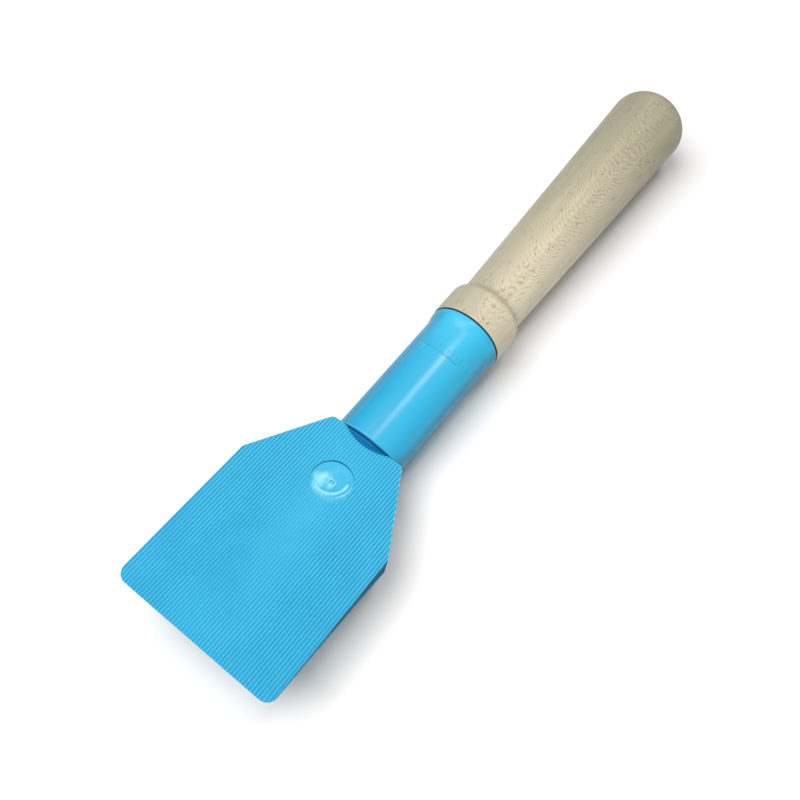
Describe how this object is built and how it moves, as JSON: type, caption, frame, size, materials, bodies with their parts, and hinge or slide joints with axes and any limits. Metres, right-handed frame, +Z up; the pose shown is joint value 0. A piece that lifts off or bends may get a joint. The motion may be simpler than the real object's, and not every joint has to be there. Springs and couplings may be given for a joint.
{
  "type": "glazing paddle",
  "caption": "Wedge-shaped plastic lever blade with a ribbed top, moulded in one with a socket that holds a turned wooden handle; slid under a pane to lift or pack it.",
  "frame": {"origin": "centre of the flat land under the heel, on the surface the tool lies on", "axes": "+X along the tool towards the end of the handle, +Z up, out of the ribbed side, +Y to the left when looking along +X"},
  "size_m": [0.3762, 0.08, 0.0422],
  "materials": {
    "paddle": "sky-blue moulded plastic, satin, finely ribbed on top",
    "handle": "bare pale beech, turned and sanded",
    "retaining_screw": "zinc-plated steel"
  },
  "bodies": {
    "root": {"paddle": "paddle", "handle": "handle", "retaining_screw": "retaining_screw"}
  },
  "joints": []
}
